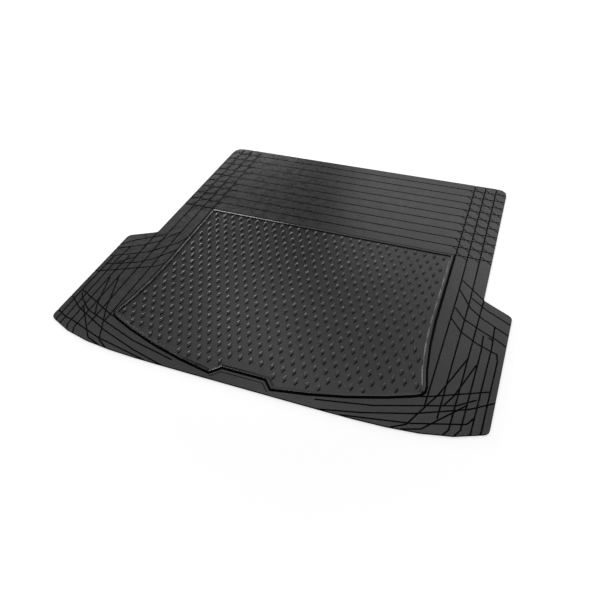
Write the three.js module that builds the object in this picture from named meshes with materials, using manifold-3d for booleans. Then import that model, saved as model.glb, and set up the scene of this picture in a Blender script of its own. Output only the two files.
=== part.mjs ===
// A car boot liner: one rubber mat, moulded in one piece.
// Its tray is a field of diamond studs inside a double-bead rail.
// Around the tray runs a band of trim grooves, along which the mat is cut to fit the boot.
// Millimetres. +X is the right of the car, +Y points to the seats and +Z is up.
// The origin is under the middle of the mat, on the boot floor.

import * as THREE from "three";
import { mergeVertices } from "three/addons/utils/BufferGeometryUtils.js";
import Module from "manifold-3d";

const wasm = await Module();
wasm.setup();

// Outline
const backWidth = 1040; // across the part that lies between the wheel arches
const matDepth = 1119; // seat edge to bumper edge, on the centre line
const sheetThickness = 4.5;
const backCornerRadius = 38;
const notchDepth = 611; // seat edge to the notch where each ear begins
const notchRadius = 9;
const earReach = 81; // how far an ear stands out past the back part
const shoulderDrop = 46; // how much further forward the ear's shoulder ends
const shoulderRadius = 20;
const earTaper = 10; // how far the ear's side leans in by the front corner
const frontCornerRadius = 20;
const frontBow = 60; // how far the bumper edge falls back at its corners
const frontBowPower = 5.5; // flat in the middle, curling in near the corners
const frontEdgeSteps = 8;
const cornerSteps = 3;

// Trim grooves
const grooveWidth = 4.4;
const grooveDepth = 2.2;
const rowCount = 10;
const firstRow = 37; // seat edge to the first groove across the mat
const rowPitch = 43.4;
const columnPitch = 36; // spacing of the grooves down each side
const columnCount = 3;
const nickLeg = 17; // each crossing of the corner grid is nicked this far along both grooves
const nickWidth = 3.4;
const nickDepth = 1.7;
const curveSteps = 80; // points tried along each curved groove
const curveTolerance = 2.2; // furthest that a straight stretch lies from its curve
const runOut = 12; // how far a groove that leaves the mat is cut past the edge

// Groove round the tray. The rail stands along the inside of it.
const trayCornerInset = 120; // bumper edge on the centre line to the tray's front corners
const trayFlare = 28; // how much further out each side of the tray is at those corners
const trayCornerRadius = 34;
const trayCornerSteps = 3;
const flareStart = 729; // seat edge to where the tray begins to flare
const flareBend = 157; // how much further forward the point lies that the flare is drawn towards
const flareSteps = 3;
const trayBow = { x: 264, inset: 40 }; // the point that the tray's front is drawn towards
const trayFrontSteps = 4;
const latchMouth = { x: 82, inset: 14 }; // where the groove turns in to the boot latch's recess
const latchTop = { x: 58.5, inset: 39 };

// Rail, measured inwards from the edge of that groove
const railHeight = 3;
const railLip = 1.8; // to the top of the first bead
const railValley = 4.6; // to the shallow valley between the beads
const railValleyDrop = 0.8;
const railCrest = 9.2; // to the top of the second bead
const railWidth = 12.2; // to the foot in the tray

// Plain pad in front of the latch recess, outlined by a fine groove
const padTop = { x: 56, inset: 29 };
const padFoot = { x: 77, inset: 7 };
const padGrooveWidth = 2.4;
const padGrooveDepth = 1;

// Studs in the tray
const studPitchX = 29.3;
const studPitchY = 28.8;
const firstStudRow = 28.2; // groove behind the tray to the middle of the first row of studs
const studHalfWidth = 5.2;
const studHalfLength = 13.6;
const studHeight = 3.2;
const studMargin = 7.4; // least distance from a stud's centre to the foot of the rail

const railSink = 2.8; // how deep the rail starts inside the sheet, deeper than any groove
const studSink = 1;
const tinyEdge = 0.05; // edges shorter than this are closed up where grooves cross

const matTop = sheetThickness;
const backHalf = backWidth / 2;
const earHalf = backHalf + earReach;
const frontCornerHalf = earHalf - earTaper;
const innerColumn = backHalf - columnCount * columnPitch;
const lastRow = firstRow + (rowCount - 1) * rowPitch;
const railFoot = grooveWidth / 2 + railWidth; // groove's middle to the foot in the tray

const rubber = new THREE.MeshStandardMaterial({
  name: "rubber",
  color: 0x303133,
  roughness: 0.55,
  metalness: 0,
});

// A point of the mat, from its distance right of the centre line and its distance from the seat edge.
const at = (x, depth) => new THREE.Vector2(x, matDepth / 2 - depth);

// A point right or left of the centre line, from its place behind the middle of the bumper edge.
const inFrom = ({ x, inset }, side = 1) => at(side * x, matDepth - inset);

// Where the bumper edge lies, as a distance from the seat edge.
const frontEdge = (x) => matDepth - frontBow * Math.abs(x / frontCornerHalf) ** frontBowPower;

const mirrored = (points) => points.map((p) => new THREE.Vector2(-p.x, p.y)).reverse();

// The arc that rounds a corner between the points before and after it.
function roundedCorner(before, corner, after, radius, steps) {
  const toBefore = before.clone().sub(corner).normalize();
  const toAfter = after.clone().sub(corner).normalize();
  const halfAngle = Math.acos(toBefore.dot(toAfter)) / 2;
  const reach = Math.min(
    radius / Math.tan(halfAngle),
    before.distanceTo(corner) * 0.45,
    after.distanceTo(corner) * 0.45,
  );
  const start = corner.clone().addScaledVector(toBefore, reach);
  const end = corner.clone().addScaledVector(toAfter, reach);
  return new THREE.QuadraticBezierCurve(start, corner, end).getPoints(steps);
}

// A line through the given points, with the ones that have a radius rounded off.
function roundedLine(corners, steps) {
  return corners.flatMap(({ point, radius }, i) => {
    const before = corners[i - 1]?.point;
    const after = corners[i + 1]?.point;
    if (!radius || !before || !after) return [point];
    return roundedCorner(before, point, after, radius, steps);
  });
}

// The manifold-3d solid of a closed three.js geometry.
function solidOf(geometry) {
  geometry.deleteAttribute("normal");
  geometry.deleteAttribute("uv");
  const merged = mergeVertices(geometry, 1e-4);
  return new wasm.Manifold(
    new wasm.Mesh({
      numProp: 3,
      vertProperties: merged.attributes.position.array,
      triVerts: new Uint32Array(merged.index.array),
    }),
  );
}

function geometryOf(solid) {
  const mesh = solid.getMesh();
  const geometry = new THREE.BufferGeometry();
  geometry.setAttribute("position", new THREE.BufferAttribute(new Float32Array(mesh.vertProperties), 3));
  geometry.setIndex(new THREE.BufferAttribute(new Uint32Array(mesh.triVerts), 1));
  const faceted = geometry.toNonIndexed();
  faceted.computeVertexNormals();
  return faceted;
}

// At each point of a path, the step to its left that keeps a parallel line one millimetre away.
function mitres(path, closed) {
  const count = path.length;
  return path.map((point, i) => {
    const before = closed || i > 0 ? path[(i + count - 1) % count] : null;
    const after = closed || i < count - 1 ? path[(i + 1) % count] : null;
    const into = (before ? point.clone().sub(before) : after.clone().sub(point)).normalize();
    const out = (after ? after.clone().sub(point) : into.clone()).normalize();
    const along = into.clone().add(out).normalize();
    return new THREE.Vector2(-along.y, along.x).divideScalar(along.dot(into));
  });
}

// A closed line moved to its left by the given distance.
function shifted(loop, distance) {
  const steps = mitres(loop, true);
  return loop.map((point, i) => point.clone().addScaledVector(steps[i], distance));
}

// A solid with one section carried along a flat path, mitred at its points.
// A section point's x is its distance to the left of the path, and its y is its height.
function barAlong(path, section, closed = false) {
  const count = path.length;
  const steps = mitres(path, closed);
  const positions = path.flatMap((point, i) =>
    section.flatMap((s) => [point.x + steps[i].x * s.x, point.y + steps[i].y * s.x, s.y]),
  );
  const ring = section.length;
  const index = [];
  const stretches = closed ? count : count - 1;
  for (let i = 0; i < stretches; i += 1) {
    const here = i * ring;
    const next = ((i + 1) % count) * ring;
    for (let j = 0; j < ring; j += 1) {
      const k = (j + 1) % ring;
      index.push(here + j, next + k, next + j, here + j, here + k, next + k);
    }
  }
  if (!closed) {
    const last = (count - 1) * ring;
    THREE.ShapeUtils.triangulateShape(section, []).forEach(([a, b, c]) => {
      index.push(c, b, a, last + a, last + b, last + c);
    });
  }
  const geometry = new THREE.BufferGeometry();
  geometry.setAttribute("position", new THREE.BufferAttribute(new Float32Array(positions), 3));
  geometry.setIndex(index);
  return solidOf(geometry);
}

// The wedge that cuts a groove, from a little above the sheet down to the groove's bottom.
function grooveCutter(path, width = grooveWidth, depth = grooveDepth) {
  const above = 1;
  const half = ((width / 2) * (depth + above)) / depth;
  const section = [
    new THREE.Vector2(-half, matTop + above),
    new THREE.Vector2(0, matTop - depth),
    new THREE.Vector2(half, matTop + above),
  ];
  return barAlong(path, section);
}

// How far a point lies from the line through two others.
function distanceFromLine(point, start, end) {
  const along = end.clone().sub(start).normalize();
  return Math.abs(point.clone().sub(start).cross(along));
}

// A curve through the given points, in as few straight stretches as the tolerance allows.
function smooth(points) {
  const [start, ...rest] = new THREE.SplineCurve(points).getPoints(curveSteps);
  const kept = [start];
  let skipped = [];
  rest.forEach((point) => {
    if (skipped.some((p) => distanceFromLine(p, kept.at(-1), point) > curveTolerance)) {
      kept.push(skipped.at(-1));
      skipped = [];
    }
    skipped.push(point);
  });
  return [...kept, rest.at(-1)];
}

// The right half of the outline, from the middle of the seat edge to the middle of the bumper edge.
function rightOutline() {
  const frontCorner = at(frontCornerHalf, frontEdge(frontCornerHalf));
  const edge = [];
  for (let i = 1; i <= frontEdgeSteps; i += 1) {
    const x = frontCornerHalf * (1 - i / frontEdgeSteps);
    edge.push({ point: at(x, frontEdge(x)) });
  }
  return roundedLine(
    [
      { point: at(0, 0) },
      { point: at(backHalf, 0), radius: backCornerRadius },
      { point: at(backHalf, notchDepth), radius: notchRadius },
      { point: at(earHalf, notchDepth + shoulderDrop), radius: shoulderRadius },
      { point: frontCorner, radius: frontCornerRadius },
      ...edge,
    ],
    cornerSteps,
  );
}

function sheet() {
  const right = rightOutline();
  const left = mirrored(right).slice(1, -1);
  const shape = new THREE.Shape([...right, ...left]);
  return solidOf(new THREE.ExtrudeGeometry(shape, { depth: sheetThickness, bevelEnabled: false }));
}

// The groove round the tray, as a closed line that runs clockwise from the seat side.
function trayLine() {
  const corner = at(innerColumn + trayFlare, matDepth - trayCornerInset);
  const flare = new THREE.QuadraticBezierCurve(
    at(innerColumn, flareStart),
    at(innerColumn, flareStart + flareBend),
    corner,
  ).getPoints(flareSteps);
  const front = new THREE.QuadraticBezierCurve(
    corner,
    inFrom(trayBow),
    inFrom(latchMouth),
  ).getPoints(trayFrontSteps);
  const bend = roundedCorner(flare.at(-2), corner, front[1], trayCornerRadius, trayCornerSteps);
  const right = [
    at(innerColumn, lastRow),
    ...flare.slice(0, -1),
    ...bend,
    ...front.slice(1),
    inFrom(latchTop),
  ];
  return [...right, ...mirrored(right)];
}

// The rail's section, from its foot beside the groove, over its two beads, to its foot in the tray.
function railSection() {
  const top = matTop + railHeight;
  const bed = matTop - railSink;
  return [
    [0, bed],
    [0, matTop],
    [railLip, top],
    [railValley, top - railValleyDrop],
    [railCrest, top],
    [railWidth, matTop],
    [railWidth, bed],
  ].map(([inwards, height]) => new THREE.Vector2(-grooveWidth / 2 - inwards, height));
}

// Whether a point lies inside a closed line.
function isInside(point, loop) {
  return loop.reduce((inside, a, i) => {
    const b = loop[(i + 1) % loop.length];
    if (a.y > point.y === b.y > point.y) return inside;
    const crossing = a.x + ((point.y - a.y) / (b.y - a.y)) * (b.x - a.x);
    return crossing > point.x ? !inside : inside;
  }, false);
}

// One mesh of all the studs: four-sided pyramids in staggered rows, each stretched towards the seats.
function studs() {
  const limit = shifted(trayLine(), -railFoot - studMargin);
  const spread = (studHeight + studSink) / studHeight;
  const tipX = studHalfWidth * spread;
  const tipY = studHalfLength * spread;
  const positions = [];
  const index = [];
  let count = 0;
  for (let row = 0; lastRow + row * studPitchY < matDepth; row += 1) {
    const shift = row % 2 === 0 ? 0 : studPitchX / 2;
    const reach = Math.ceil((innerColumn + trayFlare) / studPitchX);
    for (let column = -reach; column <= reach; column += 1) {
      const centre = at(column * studPitchX + shift, lastRow + firstStudRow + row * studPitchY);
      if (!isInside(centre, limit)) continue;
      const { x, y } = centre;
      const bed = matTop - studSink;
      positions.push(x + tipX, y, bed, x, y + tipY, bed, x - tipX, y, bed, x, y - tipY, bed);
      positions.push(x, y, matTop + studHeight);
      const v = count * 5;
      index.push(v, v + 1, v + 4, v + 1, v + 2, v + 4, v + 2, v + 3, v + 4, v + 3, v, v + 4);
      index.push(v, v + 3, v + 2, v, v + 2, v + 1);
      count += 1;
    }
  }
  const geometry = new THREE.BufferGeometry();
  geometry.setAttribute("position", new THREE.BufferAttribute(new Float32Array(positions), 3));
  geometry.setIndex(index);
  return solidOf(geometry);
}

// Grooves across the back of the mat, one short of the rail.
function rowPaths() {
  const paths = [];
  for (let i = 0; i < rowCount; i += 1) {
    const depth = firstRow + i * rowPitch;
    paths.push([at(-backHalf - runOut, depth), at(backHalf + runOut, depth)]);
  }
  return paths;
}

// The nicks beside each crossing of the corner grid, on one side of the mat.
// They cut two opposite corners off every plate of the grid.
function nickPaths(side) {
  const paths = [];
  for (let i = 0; i < rowCount; i += 1) {
    const depth = firstRow + i * rowPitch;
    for (let k = 0; k <= columnCount; k += 1) {
      const x = backHalf - k * columnPitch;
      const besideRail = k === columnCount && i === rowCount - 1;
      if (!besideRail) paths.push([at(side * (x - nickLeg), depth), at(side * x, depth + nickLeg)]);
      if (k > 0) paths.push([at(side * x, depth - nickLeg), at(side * (x + nickLeg), depth)]);
    }
  }
  return paths;
}

// Points of a curved groove, given as distances outwards and forwards from the notch of its ear.
const fromNotch = (side, pairs) =>
  pairs.map(([out, ahead]) => at(side * (backHalf + out), notchDepth + ahead));

// Grooves that run down both ears. The first two come from the seat edge.
const strands = [
  [[-2 * columnPitch, 0], [-75, 137], [-78, 250], [-81, 362], [-80, 417]],
  [[-columnPitch, 0], [-39, 120], [-42, 230], [-45, 346], [-46, 446]],
  [[0, 0], [-2, 70], [-6, 180], [-10, 330], [-13, 446], [-17, 470], [-30, 492]],
  [[17, 139], [20, 169], [17, 250], [14, 343], [12, 442], [7, 463], [-4, 484]],
  [[41, 100], [44, 137], [41, 242], [37, 350], [33, 455], [21, 480]],
];

// Grooves that sweep across both ears the same way.
const sweeps = [
  [[-70, -25], [-57, 1], [-36, 36], [-13, 62], [15, 82], [43, 98], [68, 112], [90, 130]],
  [[57, 326], [35, 337], [2, 352], [-30, 367], [-56, 380], [-96, 394]],
  [[31, 361], [15, 376], [-3, 389], [-25, 399], [-112, 430], [-200, 458], [-328, 484]],
  [[90, 344], [71, 356], [41, 381], [-22, 415], [-107, 451], [-194, 480], [-320, 511]],
  [[16, 440], [-16, 452], [-79, 472], [-167, 492], [-260, 508]],
  [[-8, 235], [-41, 337], [-74, 414], [-102, 474], [-113, 486], [-141, 503]],
  [[15, 250], [4, 286], [-13, 347], [-38, 401]],
  [[14, 382], [-15, 415], [-56, 466], [-76, 486], [-117, 500]],
];

// Grooves that cross the ear on its right side only.
const rightSweeps = [
  [[-70, -70], [-52, -50], [-19, -16], [0, 0]],
  [[-34, 0], [-13, 19], [3, 33], [33, 51], [63, 67], [90, 84]],
  [[-70, 54], [-56, 76], [-42, 92], [-22, 106], [2, 121], [43, 139], [63, 154], [90, 174]],
  [
    [-73, 100], [-58, 122], [-44, 141], [-24, 157], [0, 173], [30, 185], [52, 193],
    [60, 201], [62, 216], [61, 245], [60, 300], [54, 444], [44, 480],
  ],
  [[33, 416], [26, 432], [16, 440]],
  [[30, 143], [43, 151]],
];

// Grooves that cross the ear on its left side only. Three of them start at the rail.
const leftSweeps = [
  [[-32, 3], [-23, 14], [4, 30], [26, 48], [52, 69], [90, 112]],
  [[-107, 0], [-98, 25], [-84, 44], [-49, 81], [-34, 99], [5, 125], [27, 135], [55, 149], [90, 167]],
  [[-107, 66], [-89, 94], [-69, 123], [-48, 142], [-31, 157], [-4, 170], [25, 184], [52, 196], [63, 200]],
  [[-107, 136], [-97, 153], [-78, 166], [-54, 178], [-26, 192], [-3, 205], [25, 215], [58, 230], [90, 247]],
  [[-1, 142], [14, 159], [35, 182]],
  [[62, 158], [63, 227], [60, 300], [54, 444], [44, 480]],
  [[51, 337], [42, 350], [31, 361]],
  [[85, 414], [69, 421], [38, 437], [16, 440]],
];

// Grooves that run down one side and round its ear.
function sidePaths(side) {
  const own = side > 0 ? rightSweeps : leftSweeps;
  const down = strands.map((pairs) => smooth(fromNotch(side, pairs)));
  down.slice(0, 2).forEach((path) => path.unshift(new THREE.Vector2(path[0].x, matDepth / 2 + runOut)));
  return [...down, ...[...sweeps, ...own].map((pairs) => smooth(fromNotch(side, pairs)))];
}

// The groove round the tray, in two halves that meet at the latch recess.
// Each half runs on to the seat edge.
function trayGroovePaths() {
  const line = trayLine();
  const right = line.slice(0, line.length / 2);
  return [1, -1].map((side) => {
    const half = right.map((p) => new THREE.Vector2(side * p.x, p.y));
    return [at(side * innerColumn, -runOut), ...half, at(0, matDepth - latchTop.inset)];
  });
}

// The fine groove round the pad, from its left foot over its top to its right foot.
function padPath() {
  return [inFrom(padFoot, -1), inFrom(padTop, -1), inFrom(padTop), inFrom(padFoot)];
}

function bootLiner() {
  let body = sheet();
  [...rowPaths(), ...trayGroovePaths(), ...sidePaths(1), ...sidePaths(-1)].forEach((path) => {
    body = body.subtract(grooveCutter(path));
  });
  [...nickPaths(1), ...nickPaths(-1)].forEach((path) => {
    body = body.subtract(grooveCutter(path, nickWidth, nickDepth));
  });
  body = body.subtract(grooveCutter(padPath(), padGrooveWidth, padGrooveDepth));
  const rail = barAlong(trayLine(), railSection(), true);
  body = body.add(rail).add(studs()).simplify(tinyEdge);
  const mesh = new THREE.Mesh(geometryOf(body), rubber);
  mesh.name = "boot_liner";
  return mesh;
}

const liner = new THREE.Group();
liner.add(bootLiner());

export default liner;
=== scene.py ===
import math

import bpy
from mathutils import Matrix, Vector


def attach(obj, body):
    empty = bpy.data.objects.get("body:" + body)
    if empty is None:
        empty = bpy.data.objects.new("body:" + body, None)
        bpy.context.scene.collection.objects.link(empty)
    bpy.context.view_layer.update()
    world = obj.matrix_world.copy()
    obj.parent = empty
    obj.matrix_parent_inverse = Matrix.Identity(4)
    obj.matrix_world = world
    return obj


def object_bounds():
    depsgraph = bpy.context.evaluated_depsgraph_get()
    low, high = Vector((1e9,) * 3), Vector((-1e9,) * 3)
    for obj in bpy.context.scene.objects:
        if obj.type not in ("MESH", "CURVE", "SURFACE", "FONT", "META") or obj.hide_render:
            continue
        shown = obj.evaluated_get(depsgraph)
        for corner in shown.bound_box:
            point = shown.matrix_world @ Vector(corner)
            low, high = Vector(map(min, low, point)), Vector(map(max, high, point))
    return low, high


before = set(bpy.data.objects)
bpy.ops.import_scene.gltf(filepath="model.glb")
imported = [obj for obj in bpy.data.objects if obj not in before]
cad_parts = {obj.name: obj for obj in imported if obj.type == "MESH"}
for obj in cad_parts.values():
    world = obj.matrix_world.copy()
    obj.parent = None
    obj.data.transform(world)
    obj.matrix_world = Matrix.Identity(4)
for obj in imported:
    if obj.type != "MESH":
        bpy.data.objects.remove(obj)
size_at_load = [list(corner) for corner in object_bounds()]

# Metres and radians. +X is the right of the car, +Y points to the seats and +Z is up.

SHEET_TOP = 0.0045

# Camera. It looks from the bumper's side, and the target is the point on the mat that it is aimed at.
AZIMUTH = 0.378
ELEVATION = 0.723336
ROLL = -0.0314353
DISTANCE = 1.6705
LENS = 35.72
SENSOR = 36.0
TARGET_X = 0.0377
TARGET_FROM_SEAT_EDGE = 0.77563
SHIFT_X = -0.0007
SHIFT_Y = 0.0007
CLIP_START = 0.05
CLIP_END = 50

# Studs. The corner is how far from each tip of the rhombus its rounding starts. A ring of the surface is
# given by how far in it lies from the stud's outline, and how far down from the stud's top.
STUD_HALF_WIDTH = 0.0052
STUD_HALF_LENGTH = 0.0136
STUD_CORNER = 0.0012
STUD_RINGS = (
    (0.0, 0.0034),
    (0.0003, 0.0013),
    (0.0005, 0.00093),
    (0.0007, 0.00081),
    (0.0013, 0.00054),
    (0.0023, 0.0002),
    (0.0031, 0.0),
)
TIP_TOLERANCE = 0.00001
TIP_DIGITS = 5

# Rubber. Dark and light are the extremes of its uneven colour, and the patchiness is the most that its
# roughness strays either way.
FACE_DARK = (0.011, 0.0112, 0.0116)
FACE_LIGHT = (0.017, 0.0172, 0.0176)
FACE_ROUGHNESS = 0.28
PATCHINESS = 0.04
RUBBER_IOR = 1.5

# Heights above the sheet's top between which wear has polished the studs and the rail.
WORN_FROM = 0.0012
WORN_TO = 0.0022
WORN_ROUGHNESS = 0.2

# Depths below the sheet's top between which the grooves turn matt and take a painted shade. The groove
# colour is painted shade, a near-black that stands in for the shadow inside the grooves. The groove
# roughness is their real matt finish.
SHADE_AND_MATT_FROM = 0.00002
SHADE_AND_MATT_TO = 0.0002
GROOVE_SHADE_COLOUR = (0.001, 0.001, 0.001)
GROOVE_ROUGHNESS = 1.0

# Noises of the rubber: scale, detail and roughness.
GRAIN = (900.0, 3.0, 0.6)
WAVES = (6.0, 2.0, 0.5)
MARKS = (45.0, 4.0, 0.6)

# The levels of the marks that count as none and as full.
MARKS_NONE = 0.3
MARKS_FULL = 0.7

# Bumps of the rubber: strength and distance.
WAVE_BUMP = (0.35, 0.004)
GRAIN_BUMP = (0.25, 0.0003)

# Floor. It lies just below the mat. The camera sees it pale, with a glow that grows with the distance
# from the middle to keep it white, and other rays meet a mid grey.
FLOOR_HALF = 9.0
FLOOR_DROP = 0.0005
FLOOR_PALE = 0.9
FLOOR_GREY = 0.2
GLOW_NEAR = 0.75
GLOW_FROM = 0.7
GLOW_TO = 2.2

# The even light of the room.
ROOM_LIGHT = 0.02

# Softboxes: name, degrees west of north, elevation in degrees, distance, width, height and radiance.
SOFTBOXES = (
    ("low strip", 35, 9, 3.5, 1.6, 0.65, 7.0),
    ("low west", 55, 10, 3.5, 1.2, 0.8, 6.1),
    ("low north", 5, 16, 3.5, 2.4, 0.8, 0.6),
    ("north", -5, 31, 3.5, 2.2, 0.9, 1.35),
    ("west", 45, 33, 3.5, 1.8, 1.0, 0.2),
    ("high north west", 15, 49, 3.5, 2.4, 1.1, 0.55),
    ("high west", 45, 49, 3.5, 1.8, 1.1, 0.75),
    ("high north east", -25, 45, 3.5, 1.6, 1.2, 0.9),
    ("side", 80, 45, 3.5, 1.6, 1.4, 1.05),
    ("top", 0, 72, 3.0, 2.0, 1.4, 1.35),
)

scene = bpy.context.scene
scene.view_settings.view_transform = "Standard"
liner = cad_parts["boot_liner"]
seat_edge = size_at_load[1][1]
stud_top = size_at_load[1][2]


# Camera

def place_camera():
    """Puts the camera at the photo's angle."""
    target = Vector((TARGET_X, seat_edge - TARGET_FROM_SEAT_EDGE, SHEET_TOP))
    back = Vector((
        math.sin(AZIMUTH) * math.cos(ELEVATION),
        -math.cos(AZIMUTH) * math.cos(ELEVATION),
        math.sin(ELEVATION),
    ))
    level_right = (-back).cross(Vector((0, 0, 1))).normalized()
    level_up = back.cross(level_right)
    right = level_right * math.cos(ROLL) + level_up * math.sin(ROLL)
    up = level_up * math.cos(ROLL) - level_right * math.sin(ROLL)
    turn = Matrix((right, up, back)).transposed()
    data = bpy.data.cameras.new("camera")
    data.lens = LENS
    data.sensor_width = SENSOR
    data.clip_start = CLIP_START
    data.clip_end = CLIP_END
    data.shift_x = SHIFT_X
    data.shift_y = SHIFT_Y
    camera = bpy.data.objects.new("camera", data)
    camera.matrix_world = Matrix.Translation(target + back * DISTANCE) @ turn.to_4x4()
    scene.collection.objects.link(camera)
    scene.camera = camera


# Shader nodes

def node_of(tree, kind, **inputs):
    """Adds a shader node and sets its inputs by name."""
    node = tree.nodes.new(kind)
    for name, value in inputs.items():
        node.inputs[name.replace("_", " ")].default_value = value
    return node


def noise(tree, place, settings):
    """A noise over the object, from its scale, detail and roughness."""
    scale, detail, roughness = settings
    node = node_of(tree, "ShaderNodeTexNoise", Scale=scale, Detail=detail, Roughness=roughness)
    tree.links.new(place, node.inputs["Vector"])
    return node.outputs["Fac"]


def bump(tree, height, settings):
    """A bump node for a height, from its strength and distance."""
    strength, distance = settings
    node = node_of(tree, "ShaderNodeBump", Strength=strength, Distance=distance)
    tree.links.new(height, node.inputs["Height"])
    return node


def ramp(tree, source, start, end, start_value, end_value):
    """A value that goes from one level to another while its source goes from start to end."""
    node = node_of(
        tree,
        "ShaderNodeMapRange",
        From_Min=start,
        From_Max=end,
        To_Min=start_value,
        To_Max=end_value,
    )
    tree.links.new(source, node.inputs["Value"])
    return node.outputs["Result"]


def total(tree, first, *others):
    """The sum of some values."""
    for other in others:
        node = tree.nodes.new("ShaderNodeMath")
        node.operation = "ADD"
        tree.links.new(first, node.inputs[0])
        tree.links.new(other, node.inputs[1])
        first = node.outputs[0]
    return first


def blend(tree, factor, first, second):
    """A colour that goes from the first to the second, each a tuple or another node's output."""
    node = tree.nodes.new("ShaderNodeMix")
    node.data_type = "RGBA"
    tree.links.new(factor, node.inputs[0])
    for socket, colour in ((node.inputs[6], first), (node.inputs[7], second)):
        if isinstance(colour, tuple):
            socket.default_value = (*colour, 1)
        else:
            tree.links.new(colour, socket)
    return node.outputs[2]


def show_to_camera(tree, seen, otherwise, output):
    """Gives the camera's rays one shader, and all other rays another."""
    ray = tree.nodes.new("ShaderNodeLightPath")
    mix = tree.nodes.new("ShaderNodeMixShader")
    tree.links.new(ray.outputs["Is Camera Ray"], mix.inputs[0])
    tree.links.new(otherwise.outputs[0], mix.inputs[1])
    tree.links.new(seen.outputs[0], mix.inputs[2])
    tree.links.new(mix.outputs[0], output.inputs["Surface"])


def grey(level):
    """A grey for a colour socket."""
    return (level, level, level, 1)


# Rubber

def rubber_material():
    """Satin black rubber with a fine grain, a slow waviness, an uneven sheen, and matt grooves whose colour
    is darkened as painted shade.
    """
    material = bpy.data.materials.new("rubber")
    material.use_nodes = True
    tree = material.node_tree
    link = tree.links.new
    shader = tree.nodes["Principled BSDF"]
    place = tree.nodes.new("ShaderNodeTexCoord").outputs["Object"]
    split = tree.nodes.new("ShaderNodeSeparateXYZ")
    link(place, split.inputs[0])
    height = split.outputs["Z"]
    marks = noise(tree, place, MARKS)

    # Depth mask of the grooves. It sets their painted shade in the colour and their matt finish in the
    # roughness.
    in_groove = ramp(tree, height, SHEET_TOP - SHADE_AND_MATT_FROM, SHEET_TOP - SHADE_AND_MATT_TO, 0.0, 1.0)
    unevenness = ramp(tree, marks, MARKS_NONE, MARKS_FULL, 0.0, 1.0)
    face = blend(tree, unevenness, FACE_DARK, FACE_LIGHT)
    # Painted shade: the colour goes nearly black inside the grooves, in place of their shadow.
    link(blend(tree, in_groove, face, GROOVE_SHADE_COLOUR), shader.inputs["Base Color"])

    worn_start = SHEET_TOP + WORN_FROM
    worn_end = SHEET_TOP + WORN_TO
    worn = ramp(tree, height, worn_start, worn_end, FACE_ROUGHNESS, WORN_ROUGHNESS)
    matt = ramp(tree, in_groove, 0.0, 1.0, 0.0, GROOVE_ROUGHNESS - FACE_ROUGHNESS)
    patchy = ramp(tree, marks, MARKS_NONE, MARKS_FULL, -PATCHINESS, PATCHINESS)
    link(total(tree, worn, matt, patchy), shader.inputs["Roughness"])
    shader.inputs["IOR"].default_value = RUBBER_IOR

    slow = bump(tree, noise(tree, place, WAVES), WAVE_BUMP)
    fine = bump(tree, noise(tree, place, GRAIN), GRAIN_BUMP)
    link(slow.outputs["Normal"], fine.inputs["Normal"])
    link(fine.outputs["Normal"], shader.inputs["Normal"])
    return material


# Studs

def stud_outline(inset):
    """The rhombus of a stud, drawn in by a distance, with its four corners rounded."""
    side = math.hypot(STUD_HALF_WIDTH, STUD_HALF_LENGTH)
    half_width = STUD_HALF_WIDTH - inset * side / STUD_HALF_LENGTH
    half_length = STUD_HALF_LENGTH - inset * side / STUD_HALF_WIDTH
    corners = [
        Vector((half_width, 0)),
        Vector((0, half_length)),
        Vector((-half_width, 0)),
        Vector((0, -half_length)),
    ]
    points = []
    for i, corner in enumerate(corners):
        before = corners[i - 1]
        after = corners[(i + 1) % len(corners)]
        start = corner + (before - corner).normalized() * STUD_CORNER
        end = corner + (after - corner).normalized() * STUD_CORNER
        middle = (start + end) / 4 + corner / 2
        points.extend((start, middle, end))
    return points


def stud_centres():
    """Where the solid's studs have their tips, which are its highest points."""
    tips = {
        (round(vertex.co.x, TIP_DIGITS), round(vertex.co.y, TIP_DIGITS))
        for vertex in liner.data.vertices
        if vertex.co.z > stud_top - TIP_TOLERANCE
    }
    return sorted(tips)


def add_studs(material):
    """Flat-topped studs with soft upper edges, one over each tip of the solid."""
    rings = [(stud_outline(inset), stud_top - drop) for inset, drop in STUD_RINGS]
    count = len(rings[0][0])
    points = []
    faces = []
    for x, y in stud_centres():
        first = len(points)
        for outline, height in rings:
            points.extend((x + p.x, y + p.y, height) for p in outline)
        for ring in range(len(rings) - 1):
            here = first + ring * count
            for i in range(count):
                k = (i + 1) % count
                faces.append((here + i, here + k, here + count + k, here + count + i))
        top = first + (len(rings) - 1) * count
        faces.append(tuple(range(top, top + count)))
        faces.append(tuple(range(first + count - 1, first - 1, -1)))
    mesh = bpy.data.meshes.new("studs")
    mesh.from_pydata(points, [], faces)
    mesh.materials.append(material)
    studs = bpy.data.objects.new("studs", mesh)
    scene.collection.objects.link(studs)
    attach(studs, "root")


# Studio

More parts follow.
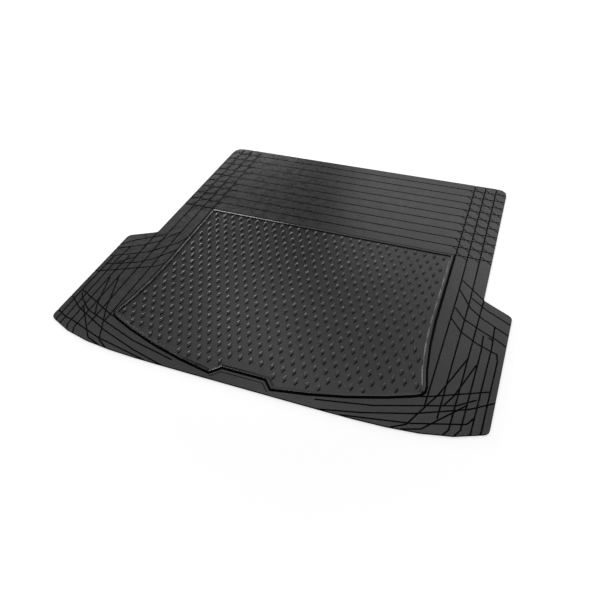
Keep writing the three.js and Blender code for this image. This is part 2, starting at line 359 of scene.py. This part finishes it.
def floor_material():
    """White to the camera, apart from the mat's shadow, and a mid grey to the light that it throws back."""
    material = bpy.data.materials.new("floor")
    material.use_nodes = True
    tree = material.node_tree
    link = tree.links.new
    tree.nodes.remove(tree.nodes["Principled BSDF"])
    dull = node_of(tree, "ShaderNodeBsdfDiffuse", Color=grey(FLOOR_GREY))
    pale = node_of(tree, "ShaderNodeBsdfDiffuse", Color=grey(FLOOR_PALE))
    glow = node_of(tree, "ShaderNodeEmission", Color=grey(1))
    away = tree.nodes.new("ShaderNodeVectorMath")
    away.operation = "LENGTH"
    link(tree.nodes.new("ShaderNodeTexCoord").outputs["Object"], away.inputs[0])
    strength = ramp(tree, away.outputs["Value"], GLOW_FROM, GLOW_TO, GLOW_NEAR, 1.0)
    link(strength, glow.inputs["Strength"])
    white = tree.nodes.new("ShaderNodeAddShader")
    link(pale.outputs[0], white.inputs[0])
    link(glow.outputs[0], white.inputs[1])
    show_to_camera(tree, white, dull, tree.nodes["Material Output"])
    return material


def add_floor():
    """A wide pale floor that the mat lies on."""
    mesh = bpy.data.meshes.new("floor")
    mesh.from_pydata(
        [
            (-FLOOR_HALF, -FLOOR_HALF, 0),
            (FLOOR_HALF, -FLOOR_HALF, 0),
            (FLOOR_HALF, FLOOR_HALF, 0),
            (-FLOOR_HALF, FLOOR_HALF, 0),
        ],
        [],
        [(0, 1, 2, 3)],
    )
    floor = bpy.data.objects.new("floor", mesh)
    floor.location.z = -FLOOR_DROP
    mesh.materials.append(floor_material())
    scene.collection.objects.link(floor)


def set_world():
    """A dim, even room, which is white where the camera sees it."""
    world = bpy.data.worlds.new("studio")
    world.use_nodes = True
    tree = world.node_tree
    room = tree.nodes["Background"]
    room.inputs["Color"].default_value = grey(1)
    room.inputs["Strength"].default_value = ROOM_LIGHT
    white = node_of(tree, "ShaderNodeBackground", Color=grey(1), Strength=1.0)
    show_to_camera(tree, white, room, tree.nodes["World Output"])
    scene.world = world


def add_softbox(name, west_of_north, elevation, distance, width, height, radiance):
    """A soft rectangular light that faces the mat. Its radiance is what it would look like in a mirror."""
    around = math.radians(west_of_north)
    up = math.radians(elevation)
    position = Vector((
        -math.sin(around) * math.cos(up),
        math.cos(around) * math.cos(up),
        math.sin(up),
    )) * distance
    data = bpy.data.lights.new(name, "AREA")
    data.shape = "RECTANGLE"
    data.size = width
    data.size_y = height
    data.energy = radiance * math.pi * width * height
    light = bpy.data.objects.new(name, data)
    light.location = position
    light.rotation_euler = (-position).to_track_quat("-Z", "Y").to_euler()
    light.visible_camera = False
    scene.collection.objects.link(light)


rubber = rubber_material()
liner.data.materials.clear()
liner.data.materials.append(rubber)
add_studs(rubber)

place_camera()
add_floor()
set_world()
for row in SOFTBOXES:
    add_softbox(*row)
